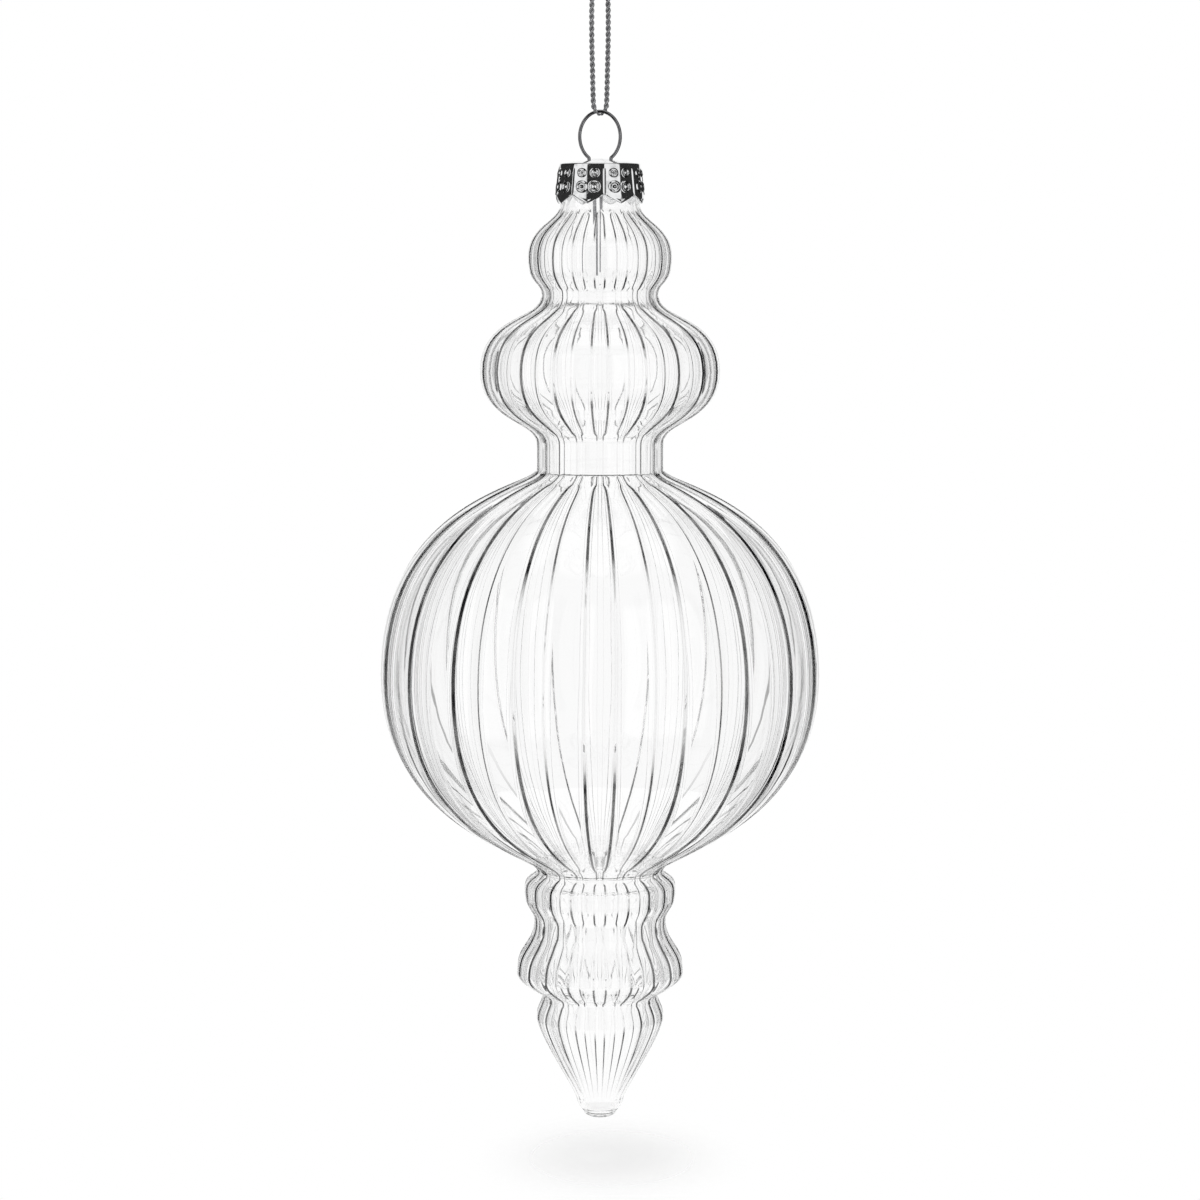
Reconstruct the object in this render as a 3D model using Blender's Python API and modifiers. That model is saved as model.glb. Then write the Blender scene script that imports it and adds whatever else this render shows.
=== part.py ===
"""A blown, ribbed clear-glass finial ornament with an icicle end, hanging from a cord loop.

A crown cap closes the neck, and a spring wire through the cap grips the neck from inside
and stands up as the ring that the cord goes through. Metres, +Z up, with the origin at the
top of the cord loop, where a hook holds it.
"""

import math

import bpy
from mathutils import Vector

# Clearance between pieces that touch or slide on each other
FIT_GAP = 0.0003

# Cord loop: the left strand from the knot to the middle of the bight, which the right one mirrors
CORD_DIAMETER = 0.00095
CORD_ROUTE = (
    (-0.00055, -0.00020, 0.00000),
    (-0.00078, -0.00040, -0.00400),
    (-0.00115, -0.00075, -0.00900),
    (-0.00142, -0.00110, -0.01500),
    (-0.00145, -0.00132, -0.02100),
    (-0.00132, -0.00145, -0.02700),
    (-0.00121, -0.00148, -0.03150),
    (-0.00120, -0.00147, -0.03317),
    (-0.00085, -0.00104, -0.03452),
    (0.00000, 0.00000, -0.03508),
)
CORD_STEP = 0.0021
KNOT_WIDTH = 0.0034
KNOT_DEPTH = 0.0027
KNOT_HEIGHT = 0.0032
KNOT_TAIL = 0.0045
KNOT_TAIL_LEAN = math.radians(20)

# Spring wire: its ring, and the two legs that stand front and back in the neck
WIRE_DIAMETER = 0.0006
HANG_DROP = 0.034
RING_WIDTH = 0.0072
RING_HEIGHT = 0.0089
RING_STAND = 0.00835
RING_END_ANGLE = math.radians(-36)
WIRE_HOLE_SPACING = 0.0039
LEG_OFFSET = 0.0004
LEG_BEND = 0.0062
LEG_LENGTH = 0.0208

# Crown cap: pressed sheet in panels, each with a pointed lower edge
CAP_TOP_RADIUS = 0.0072
CAP_RIM_RADIUS = 0.0078
CAP_SIDE = 0.0055
CAP_POINT = 0.0016
CAP_DOME = 0.0008
CAP_EDGE = 0.0006
CAP_SHEET = 0.0003
CAP_PANELS = 8
CAP_TURN = math.radians(28.5)

# Glass: the radius of each bulb and waist, and the height from each down to the next
WALL = 0.0011
TIP_WALL = 0.0048
RIM_RADIUS = 0.00645
NECK_RADIUS = 0.0070
NECK_LENGTH = 0.0083
TOP_BULB_RADIUS = 0.0128
TOP_BULB_RISE = 0.0076
TOP_BULB_FALL = 0.0069
TOP_WAIST_RADIUS = 0.0105
MID_BULB_RADIUS = 0.0214
MID_BULB_RISE = 0.0130
MID_BULB_FALL = 0.0128
MID_NECK_RADIUS = 0.0114
MID_NECK_LENGTH = 0.0053
BIG_BULB_RADIUS = 0.0396
BIG_BULB_RISE = 0.0362
BIG_BULB_FALL = 0.0358
LOW_WAIST_RADIUS = 0.0118
COLLAR_RADIUS = 0.0138
COLLAR_RISE = 0.0044
COLLAR_FALL = 0.0057
COLLAR_WAIST_RADIUS = 0.0119
SKIRT_RADIUS = 0.0152
SKIRT_RISE = 0.0090
SKIRT_FALL = 0.0049
SKIRT_WAIST_RADIUS = 0.01055
ICICLE_RADIUS = 0.0115
ICICLE_RISE = 0.0041
ICICLE_LENGTH = 0.0178
TIP_RADIUS = 0.0029
TIP_ROUND = 0.0009

# Ribs: the grooves between them, shallower on narrow stretches and on the inside
RIBS = 20
GROOVE_DEPTH = 0.0005
GROOVE_SHARE = 0.03
INNER_GROOVE_SHARE = 0.6

# Levels and radii that follow from the sizes above
CORD_RADIUS = CORD_DIAMETER / 2
WIRE_RADIUS = WIRE_DIAMETER / 2
PIVOT_Z = -HANG_DROP
CROWN_Z = PIVOT_Z - RING_STAND
CAP_TOP_Z = CROWN_Z - CAP_DOME
RIM_Z = CAP_TOP_Z - CAP_SHEET - FIT_GAP
LEG_RADIUS = RIM_RADIUS - WALL - FIT_GAP - WIRE_RADIUS


def curve_points(ends, steps):
    """(share, point, heading) along a cubic curve, without its first point."""
    p0, p1, p2, p3 = (Vector(p) for p in ends)
    found = []
    for i in range(1, steps + 1):
        t = i / steps
        s = 1 - t
        point = s**3 * p0 + 3 * s * s * t * p1 + 3 * s * t * t * p2 + t**3 * p3
        heading = s * s * (p1 - p0) + 2 * s * t * (p2 - p1) + t * t * (p3 - p2)
        found.append((t, point, heading.normalized()))
    return found


def smooth_route(points, step):
    """Points about a step apart on a smooth curve through the given ones."""
    points = [Vector(p) for p in points]
    padded = [2 * points[0] - points[1], *points, 2 * points[-1] - points[-2]]
    route = [points[0]]
    for before, a, b, after in zip(padded, padded[1:], padded[2:], padded[3:]):
        reach = (b - a).length / 3
        ahead = a + (b - before).normalized() * reach
        behind = b - (after - a).normalized() * reach
        steps = max(2, math.ceil((b - a).length / step))
        route += [point for _, point, _ in curve_points((a, ahead, behind, b), steps)]
    return route


def finish(name, colour, roughness, metallic, transmission=0.0):
    """A piece's own material."""
    made = bpy.data.materials.new(name)
    made.use_nodes = True
    shader = made.node_tree.nodes["Principled BSDF"]
    shader.inputs["Base Color"].default_value = (*colour, 1.0)
    shader.inputs["Roughness"].default_value = roughness
    shader.inputs["Metallic"].default_value = metallic
    shader.inputs["Transmission Weight"].default_value = transmission
    return made


def collection(name):
    made = bpy.data.collections.new(name)
    bpy.context.scene.collection.children.link(made)
    return made


def place(name, data, home, location=(0, 0, 0), parent=None):
    """An object, or an empty where there is no data, in its collection."""
    piece = bpy.data.objects.new(name, data)
    piece.location = location
    piece.parent = parent
    home.objects.link(piece)
    return piece


def tube(name, points, radius):
    """A round wire or cord along the points, with closed ends."""
    curve = bpy.data.curves.new(name, "CURVE")
    curve.dimensions = "3D"
    curve.bevel_depth = radius
    curve.bevel_resolution = 2
    curve.use_fill_caps = True
    spline = curve.splines.new("POLY")
    spline.points.add(len(points) - 1)
    spline.use_smooth = True
    for spot, point in zip(spline.points, points):
        spot.co = (*point, 1.0)
    return curve


def as_mesh(piece, keep_layers=False):
    """A new mesh of the object as its modifiers or its curve show it."""
    bpy.context.view_layer.update()
    graph = bpy.context.evaluated_depsgraph_get()
    shown = piece.evaluated_get(graph)
    return bpy.data.meshes.new_from_object(shown, preserve_all_data_layers=keep_layers, depsgraph=graph)


def turned(name, profile, steps):
    """A solid turned about Z from (radius, height, press) points, with press as a vertex attribute."""
    outline = bpy.data.meshes.new(name)
    corners = [(radius, 0, height) for radius, height, _ in profile]
    outline.from_pydata(corners, [(i, i + 1) for i in range(len(corners) - 1)], [])
    press = outline.attributes.new("press", "FLOAT", "POINT")
    for spot, (_, _, depth) in zip(press.data, profile):
        spot.value = depth
    lathe = place(name, outline, bpy.context.scene.collection)
    screw = lathe.modifiers.new("turn", "SCREW")
    screw.steps = steps
    screw.render_steps = steps
    screw.use_merge_vertices = True
    screw.merge_threshold = 0.000001
    solid = as_mesh(lathe, keep_layers=True)
    bpy.data.objects.remove(lathe)
    bpy.data.meshes.remove(outline)
    solid.name = name
    solid.shade_smooth()
    return solid


def glass_stations():
    """(radius, drop from the one above, fullness, groove share, steps down) at each bulb and waist."""
    return (
        (RIM_RADIUS, 0.0, 0.3, 0.0, 2),
        (NECK_RADIUS, NECK_LENGTH, 0.05, 0.0, 4),
        (TOP_BULB_RADIUS, TOP_BULB_RISE, 0.75, 1.0, 4),
        (TOP_WAIST_RADIUS, TOP_BULB_FALL, 0.35, 1.0, 5),
        (MID_BULB_RADIUS, MID_BULB_RISE, 0.68, 1.0, 5),
        (MID_NECK_RADIUS, MID_BULB_FALL, 0.2, 1.0, 2),
        (MID_NECK_RADIUS, MID_NECK_LENGTH, 0.05, 1.0, 8),
        (BIG_BULB_RADIUS, BIG_BULB_RISE, 0.85, 1.0, 8),
        (LOW_WAIST_RADIUS, BIG_BULB_FALL, 0.08, 1.0, 3),
        (COLLAR_RADIUS, COLLAR_RISE, 0.68, 1.3, 3),
        (COLLAR_WAIST_RADIUS, COLLAR_FALL, 0.45, 1.0, 4),
        (SKIRT_RADIUS, SKIRT_RISE, 0.52, 1.8, 4),
        (SKIRT_WAIST_RADIUS, SKIRT_FALL, 0.05, 1.0, 2),
        (ICICLE_RADIUS, ICICLE_RISE, 0.4, 1.3, 5),
        (TIP_RADIUS, ICICLE_LENGTH, 0.3, 0.5, 0),
    )


def glass_profile():
    """The wall's section: up the inside from the cavity's floor, over the rim and down the outside."""
    outer = [(RIM_RADIUS, 0.0, 0.0)]
    inner = [(RIM_RADIUS - WALL, 0.0, 0.0)]
    top = 0.0
    stations = glass_stations()
    for (r0, _, full0, share0, steps), (r1, drop, full1, share1, _) in zip(stations, stations[1:]):
        foot = top - drop
        ends = ((r0, 0, top), (r0, 0, top - full0 * drop), (r1, 0, foot + full1 * drop), (r1, 0, foot))
        for t, point, _ in curve_points(ends, steps):
            groove = min(GROOVE_DEPTH, GROOVE_SHARE * point.x) * (share0 + t * (share1 - share0))
            outer.append((point.x, point.z, groove))
        for t, point, heading in curve_points(ends, max(1, steps - steps // 3)):
            groove = min(GROOVE_DEPTH, GROOVE_SHARE * point.x) * (share0 + t * (share1 - share0))
            side = Vector((heading.z, 0, -heading.x))
            spot = point + WALL * side
            inner.append((spot.x, spot.z, groove * INNER_GROOVE_SHARE))
        top = foot
    tip = top - TIP_ROUND
    outer += [(0.72 * TIP_RADIUS, top - 0.7 * TIP_ROUND, 0.0), (0.0, tip, 0.0)]
    floor = tip + TIP_WALL
    inner = [spot for spot in inner if spot[1] > floor + WALL]
    return [(0.0, floor, 0.0), (0.7 * inner[-1][0], floor + 0.3 * WALL, 0.0), *reversed(inner), *outer]


def make_glass(home, parent):
    """One blown shell, open at the neck: turned, then grooved between its ribs."""
    steps = 2 * RIBS
    solid = turned("glass_body", glass_profile(), steps)
    press = solid.attributes["press"].data
    for corner, depth in zip(solid.vertices, press):
        turn = round(math.atan2(corner.co.y, corner.co.x) / (2 * math.pi / steps))
        if turn % 2 == 0 and depth.value > 0:
            radius = math.hypot(corner.co.x, corner.co.y)
            corner.co.xy *= 1 - depth.value / radius
    solid.attributes.remove(solid.attributes["press"])
    solid.materials.append(finish("clear_glass", (0.97, 0.98, 0.98), 0.02, 0.0, 1.0))
    return place("glass_body", solid, home, (0, 0, RIM_Z - PIVOT_Z), parent)


def cap_profile():
    """The sheet's section: from the crown out and down the outside, then back up the inside."""
    rim = -CAP_DOME - CAP_SIDE
    flat = CAP_TOP_RADIUS - CAP_EDGE
    outside = [(0.0, 0.0, 0.0), (0.5 * flat, -0.25 * CAP_DOME, 0.0), (flat, -CAP_DOME, 0.0)]
    inside = [(0.0, -CAP_SHEET, 0.0), (0.5 * flat, -0.25 * CAP_DOME - CAP_SHEET, 0.0)]
    inside.append((flat, -CAP_DOME - CAP_SHEET, 0.0))
    for angle in (math.radians(45), math.radians(90)):
        across = math.sin(angle)
        down = 1 - math.cos(angle)
        outside.append((flat + CAP_EDGE * across, -CAP_DOME - CAP_EDGE * down, 0.0))
        inner_edge = CAP_EDGE - CAP_SHEET
        inside.append((flat + inner_edge * across, -CAP_DOME - CAP_SHEET - inner_edge * down, 0.0))
    outside.append((CAP_RIM_RADIUS, rim, CAP_POINT))
    inside.append((CAP_RIM_RADIUS - CAP_SHEET, rim, CAP_POINT))
    return [*outside, *reversed(inside)]


def make_cap(home, cutters, parent):
    """The pressed crown cap, with its pointed edge and the two holes for the wire."""
    steps = 6 * CAP_PANELS
    solid = turned("metal_cap", cap_profile(), steps)
    press = solid.attributes["press"].data
    for corner, depth in zip(solid.vertices, press):
        panels = math.atan2(corner.co.y, corner.co.x) / (2 * math.pi / CAP_PANELS)
        from_point = 2 * abs(panels - round(panels))
        corner.co.z -= depth.value * (1 - from_point)
    solid.attributes.remove(solid.attributes["press"])
    solid.materials.append(finish("bright_plated_sheet", (0.80, 0.80, 0.81), 0.12, 1.0))
    cap = place("metal_cap", solid, home, (0, 0, CROWN_Z - PIVOT_Z), parent)
    cap.rotation_euler.z = CAP_TURN
    for side in (-1, 1):
        spot = Vector((side * WIRE_HOLE_SPACING / 2, 0, CROWN_Z))
        bpy.ops.mesh.primitive_cylinder_add(
            vertices=12, radius=WIRE_RADIUS + FIT_GAP, depth=4 * CAP_DOME + 2 * CAP_SHEET, location=spot
        )
        drill = bpy.context.active_object
        drill.name = f"wire_hole_{'left' if side < 0 else 'right'}"
        drill.hide_render = True
        drill.display_type = "WIRE"
        for holder in list(drill.users_collection):
            holder.objects.unlink(drill)
        cutters.objects.link(drill)
        cut = cap.modifiers.new(drill.name, "BOOLEAN")
        cut.operation = "DIFFERENCE"
        cut.object = drill
    return cap


def wire_route():
    """One side of the wire, from the top of the ring down through the cap to the end of its leg."""
    across = RING_WIDTH / 2
    up = RING_HEIGHT / 2
    ring_steps = 18
    route = []
    for i in range(ring_steps + 1):
        angle = math.pi / 2 + (RING_END_ANGLE - math.pi / 2) * i / ring_steps
        route.append(Vector((across * math.cos(angle), 0, up * math.sin(angle) - up)))
    heading = (route[-1] - route[-2]).normalized()
    hole_x = WIRE_HOLE_SPACING / 2
    above = Vector((hole_x, 0, -RING_STAND))
    below = Vector((hole_x, 0, -RING_STAND - CAP_DOME - CAP_SHEET))
    pull = (above - route[-1]).length / 2
    ends = (route[-1], route[-1] + heading * pull, above + Vector((0, 0, pull / 2)), above)
    route += [point for _, point, _ in curve_points(ends, 4)]
    leg_y = math.sqrt(LEG_RADIUS**2 - LEG_OFFSET**2)
    leg_top = Vector((LEG_OFFSET, leg_y, below.z - LEG_BEND))
    sweep = Vector((0, 0, -LEG_BEND / 2))
    route.append(below)
    route += [point for _, point, _ in curve_points((below, below + sweep, leg_top - sweep, leg_top), 8)]
    leg_foot = Vector((LEG_OFFSET, leg_y, -RING_STAND - LEG_LENGTH))
    route += [leg_top.lerp(leg_foot, share) for share in (0.5, 1.0)]
    return route


def make_wire(home, parent):
    """The ring and both legs, bent from one length of spring wire."""
    right = wire_route()
    left = [Vector((-point.x, -point.y, point.z)) for point in reversed(right)]
    curve = tube("wire_hanger", [*left[:-1], *right], WIRE_RADIUS)
    curve.materials.append(finish("spring_wire", (0.62, 0.62, 0.63), 0.25, 1.0))
    return place("wire_hanger", curve, home, (0, 0, 0), parent)


def make_cord(home):
    """The cord's two strands and the bight that carries the ring."""
    left = list(CORD_ROUTE)
    right = [(-x, -y, z) for x, y, z in reversed(left[:-1])]
    curve = tube("cord_loop", smooth_route([*left, *right], CORD_STEP), CORD_RADIUS)
    curve.materials.append(finish("silver_cord", (0.55, 0.55, 0.56), 0.4, 0.8))
    return place("cord_loop", curve, home)


def make_knot(home, cutters):
    """The knot that ties the cord's two ends, with its short tails."""
    middle = Vector((0, 0, FIT_GAP + KNOT_HEIGHT / 2))
    bpy.ops.mesh.primitive_uv_sphere_add(segments=16, ring_count=10, radius=0.5)
    lump = bpy.context.active_object
    lump.name = "cord_knot"
    lump.data.name = "cord_knot"
    for corner in lump.data.vertices:
        corner.co.x *= KNOT_WIDTH
        corner.co.y *= KNOT_DEPTH
        corner.co.z *= KNOT_HEIGHT
    lump.data.shade_smooth()
    lump.data.materials.append(finish("silver_cord_knot", (0.55, 0.55, 0.56), 0.4, 0.8))
    lump.location = middle
    for holder in list(lump.users_collection):
        holder.objects.unlink(lump)
    home.objects.link(lump)
    for side in (-1, 1):
        lean = Vector((side * math.sin(KNOT_TAIL_LEAN), side * 0.2, math.cos(KNOT_TAIL_LEAN)))
        root = middle + Vector((side * CORD_DIAMETER * 0.7, 0, KNOT_HEIGHT / 4))
        end = root + lean.normalized() * (KNOT_TAIL + KNOT_HEIGHT / 4)
        name = f"knot_tail_{'left' if side < 0 else 'right'}"
        strand = place(name, tube(name, [root, root.lerp(end, 0.5), end], CORD_RADIUS), cutters)
        solid = as_mesh(strand)
        bpy.data.objects.remove(strand)
        tail = place(name, solid, cutters)
        tail.hide_render = True
        tail.display_type = "WIRE"
        weld = tail.modifiers.new("close_ends", "WELD")
        weld.merge_threshold = 0.00001
        join = lump.modifiers.new(name, "BOOLEAN")
        join.operation = "UNION"
        join.object = tail
    return lump


for left_over in list(bpy.data.objects):
    bpy.data.objects.remove(left_over)

ornament = collection("glass_finial_ornament")
cutting_tools = collection("cutters")
make_cord(ornament)
make_knot(ornament, cutting_tools)
swing = place("ring_pivot", None, ornament, (0, 0, PIVOT_Z))
make_wire(ornament, swing)
make_cap(ornament, cutting_tools, swing)
make_glass(ornament, swing)
bpy.context.view_layer.update()
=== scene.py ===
"""Looks for the ribbed glass icicle ornament: glass shell, crown cap, spring wire, cord and knot."""

import math

import bmesh
import bpy
from mathutils import Matrix, Vector


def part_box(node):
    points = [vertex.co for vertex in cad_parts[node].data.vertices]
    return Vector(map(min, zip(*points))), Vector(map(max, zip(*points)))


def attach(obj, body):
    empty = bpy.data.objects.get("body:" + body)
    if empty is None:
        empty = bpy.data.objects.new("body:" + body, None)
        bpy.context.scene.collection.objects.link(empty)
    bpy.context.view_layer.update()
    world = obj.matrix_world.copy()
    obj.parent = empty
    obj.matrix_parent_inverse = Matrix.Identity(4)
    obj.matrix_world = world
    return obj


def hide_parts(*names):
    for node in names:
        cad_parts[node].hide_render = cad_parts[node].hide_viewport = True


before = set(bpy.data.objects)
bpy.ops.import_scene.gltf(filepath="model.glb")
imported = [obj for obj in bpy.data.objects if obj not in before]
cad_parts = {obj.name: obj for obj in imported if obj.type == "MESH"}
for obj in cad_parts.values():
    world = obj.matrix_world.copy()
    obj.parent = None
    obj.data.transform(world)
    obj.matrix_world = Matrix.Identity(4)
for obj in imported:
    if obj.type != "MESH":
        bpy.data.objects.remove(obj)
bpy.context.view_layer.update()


# Glass body
# One blown shell of clear glass, ribbed by the mould it was blown in and thick at its drawn tip.
# Its neck is open, the cap sits over it, and the wire's two legs press on it from inside.

def join(tree, kind, inputs=None, **settings):
    """A new node with its settings made and its inputs linked or given values."""
    made = tree.nodes.new(kind)
    for name, value in settings.items():
        setattr(made, name, value)
    for key, value in (inputs or {}).items():
        if isinstance(value, bpy.types.NodeSocket):
            tree.links.new(value, made.inputs[key])
        else:
            made.inputs[key].default_value = value
    return made


def maths(tree, operation, *values):
    return join(tree, "ShaderNodeMath", dict(enumerate(values)), operation=operation).outputs[0]


def spread(tree, value, low, high, to_low, to_high, smooth=True):
    """The value carried from one range to another, eased at both ends unless told not to."""
    kind = "SMOOTHSTEP" if smooth else "LINEAR"
    inputs = {0: value, 1: low, 2: high, 3: to_low, 4: to_high}
    return join(tree, "ShaderNodeMapRange", inputs, interpolation_type=kind).outputs[0]


def new_tree(name, inputs):
    """A geometry node tree with its named inputs, and its input and output sockets."""
    tree = bpy.data.node_groups.new(name, "GeometryNodeTree")
    tree.interface.new_socket("Geometry", in_out="INPUT", socket_type="NodeSocketGeometry")
    for label, kind in inputs:
        tree.interface.new_socket(label, in_out="INPUT", socket_type="NodeSocket" + kind)
    tree.interface.new_socket("Geometry", in_out="OUTPUT", socket_type="NodeSocketGeometry")
    return tree, tree.nodes.new("NodeGroupInput").outputs, tree.nodes.new("NodeGroupOutput").inputs[0]


def close_tree(tree, geometry, material, output):
    """Ends a tree: smooth faces, real geometry and the piece's material."""
    smooth = join(tree, "GeometryNodeSetShadeSmooth", {"Geometry": geometry})
    real = join(tree, "GeometryNodeRealizeInstances", {"Geometry": smooth.outputs[0]})
    done = join(tree, "GeometryNodeSetMaterial", {"Geometry": real.outputs[0], "Material": material})
    tree.links.new(done.outputs[0], output)


def wire_mesh(name, points):
    """A mesh of points joined in a row."""
    made = bpy.data.meshes.new(name)
    made.from_pydata([tuple(p) for p in points], [(i, i + 1) for i in range(len(points) - 1)], [])
    return made


def grown(name, seed, tree, values):
    """A plain mesh object that a geometry node tree makes from a seed mesh."""
    host = bpy.data.objects.new(name, seed)
    bpy.context.scene.collection.objects.link(host)
    modifier = host.modifiers.new(tree.name, "NODES")
    modifier.node_group = tree
    for item in tree.interface.items_tree:
        if item.in_out == "INPUT" and item.name in values:
            modifier[item.identifier] = values[item.name]
    graph = bpy.context.evaluated_depsgraph_get()
    shape = bpy.data.meshes.new_from_object(
        host.evaluated_get(graph), preserve_all_data_layers=True, depsgraph=graph
    )
    host.modifiers.clear()
    host.data = shape
    bpy.data.meshes.remove(seed)
    shape.name = name
    return host


def bezier(ends, steps):
    """(share, point, heading) along a cubic curve, without its first point."""
    p0, p1, p2, p3 = (Vector(p) for p in ends)
    for i in range(1, steps + 1):
        t = i / steps
        s = 1 - t
        point = s**3 * p0 + 3 * s * s * t * p1 + 3 * s * t * t * p2 + t**3 * p3
        heading = s * s * (p1 - p0) + 2 * s * t * (p2 - p1) + t * t * (p3 - p2)
        yield t, point, heading.normalized()


# Radius, drop from the one above, fullness above and below, wall, lobe share, groove depth and width
# shares, and steps down to the next
GLASS_STATIONS = (
    (0.00645, 0.00000, 0.30, 0.30, 0.0011, 0.0, 0.0, 0.0, 4),
    (0.00700, 0.00625, 0.30, 0.37, 0.0011, 0.0, 0.0, 0.0, 16),
    (0.01291, 0.00974, 0.60, 0.74, 0.0016, 1.0, 1.0, 1.0, 12),
    (0.01053, 0.00677, 0.38, 0.34, 0.0016, 2.5, 0.6, 0.5, 17),
    (0.02150, 0.01341, 0.74, 0.71, 0.0018, 1.0, 1.0, 1.0, 17),
    (0.01155, 0.01280, 0.30, 0.20, 0.0018, 2.5, 0.6, 0.5, 6),
    (0.01155, 0.00498, 0.20, 0.08, 0.0018, 2.5, 0.6, 0.5, 34),
    (0.03960, 0.03688, 0.86, 0.77, 0.0020, 1.0, 1.0, 1.0, 34),
    (0.01151, 0.03591, 0.09, 0.30, 0.0017, 2.0, 0.6, 0.5, 9),
    (0.01383, 0.00328, 0.69, 0.69, 0.0014, 18.0, 1.0, 1.0, 10),
    (0.01204, 0.00606, 0.46, 0.47, 0.0013, 10.0, 0.8, 0.6, 14),
    (0.01523, 0.00917, 0.49, 0.52, 0.0013, 24.0, 1.0, 1.0, 16),
    (0.01056, 0.00469, 0.21, 0.30, 0.0011, 8.0, 0.8, 0.6, 9),
    (0.01163, 0.00368, 0.40, 0.21, 0.0010, 14.0, 1.0, 1.0, 18),
    (0.00430, 0.01563, 0.10, 0.30, 0.0008, 4.0, 0.1, 0.8, 8),
    (0.00310, 0.00210, 0.00, 0.30, 0.0008, 1.0, 0.05, 0.8, 0),
)
GLASS_TIP_WALL = 0.0012
GLASS_TIP_ROUND = 0.0013
LOBE_DEPTH = 0.0015
LOBE_INSIDE = 0.9
GROOVE_DEPTH = 0.0115
# Between stations whose groove widths differ by more than GROOVE_EVEN, a groove begins at this share
# of the way and is full after this much more
GROOVE_EVEN = 0.3
GROOVE_START = 0.18
GROOVE_RUN_IN = 0.14
# Where the glass's radius is under this, flanks take a larger share of a rib, up to this many times
FLANK_RADIUS = 0.03
FLANK_WIDEST = 2.0
RIBS = 20
RIB_SEED = 7
# Steps across a rib, and the shares of it at which the groove's floor and its flank end
CUTS = 14
FLOOR_CUTS = 1 / CUTS
FLANK_CUTS = 4 / CUTS
# Noise that varies a groove's depth from rib to rib and down the glass, and the range it gives
STREAK_APART = 7.3
STREAK_RUN = 110.0
STREAK_DEPTH = (0.88, 1.12)
# Noise that bends the ribs aside, and its share of the unevenness
DRIFT_RUN = 25.0
DRIFT_SCALE = 1.5
DRIFT_SHARE = 0.2
MERGE_REACH = 0.000002


def glass_section():
    """Rows of point, lobe press, groove press, groove width and skin, up the inside and down the outside."""
    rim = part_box("glass_body")[1].z
    outer = []
    inner = []
    top = rim
    for upper, lower in zip(GLASS_STATIONS, GLASS_STATIONS[1:]):
        r0, _, _, full0, wall0, lobe0, deep0, wide0, steps = upper
        r1, drop, full1, _, wall1, lobe1, deep1, wide1, _ = lower
        foot = top - drop
        ends = ((r0, 0, top), (r0, 0, top - full0 * drop), (r1, 0, foot + full1 * drop), (r1, 0, foot))
        for run, count in ((outer, steps), (inner, steps // 2)):
            for t, point, heading in bezier(ends, count):
                late = t if wide1 > wide0 else 1 - t
                rise = late
                if abs(wide1 - wide0) > GROOVE_EVEN:
                    late = min(1.0, max(0.0, (late - GROOVE_START) / GROOVE_RUN_IN))
                    rise = math.sqrt(1 - (1 - late) ** 2)
                wide = min(wide0, wide1) + abs(wide1 - wide0) * rise
                deep = min(deep0, deep1) + abs(deep1 - deep0) * rise
                lobe = lobe0 + t * (lobe1 - lobe0)
                side = Vector((heading.z, 0, -heading.x))
                wall = wall0 + t * (wall1 - wall0)
                press = LOBE_DEPTH * lobe * point.x * side
                if run is outer:
                    run.append((point, press, GROOVE_DEPTH * deep * point.x * side, wide, -side))
                else:
                    run.append((point + wall * side, LOBE_INSIDE * press, Vector(), wide, side))
        top = foot
    flat = Vector()
    mouth = GLASS_STATIONS[0][0]
    up = Vector((0, 0, 1))
    outer.insert(0, (Vector((mouth, 0, rim)), flat, flat, 0.0, up))
    inner.insert(0, (Vector((mouth - GLASS_STATIONS[0][4], 0, rim)), flat, flat, 0.0, up))
    tip = top - GLASS_TIP_ROUND
    r = GLASS_STATIONS[-1][0]
    last = outer[-1]
    for turn in (18, 36, 54, 72):
        a = math.radians(turn)
        spot = Vector((r * math.cos(a), 0, top - GLASS_TIP_ROUND * math.sin(a)))
        fade = math.cos(a) ** 2
        skin = Vector((math.cos(a), 0, -math.sin(a)))
        outer.append((spot, last[1] * fade, last[2] * fade, last[3], skin))
    outer.append((Vector((0, 0, tip)), flat, flat, 0.0, -up))
    floor = tip + GLASS_TIP_WALL
    inner = [spot for spot in inner if spot[0].z > floor + GLASS_TIP_ROUND]
    r, _, rise = inner[-1][0]
    rise -= floor
    for share in (0.95, 0.85, 0.65, 0.35):
        lift = 1 - math.sqrt(1 - share * share)
        inner.append((Vector((share * r, 0, floor + rise * lift)), flat, flat, 0.0, up))
    inner.append((Vector((0, 0, floor)), flat, flat, 0.0, up))
    return [*reversed(inner), *outer]


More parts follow.
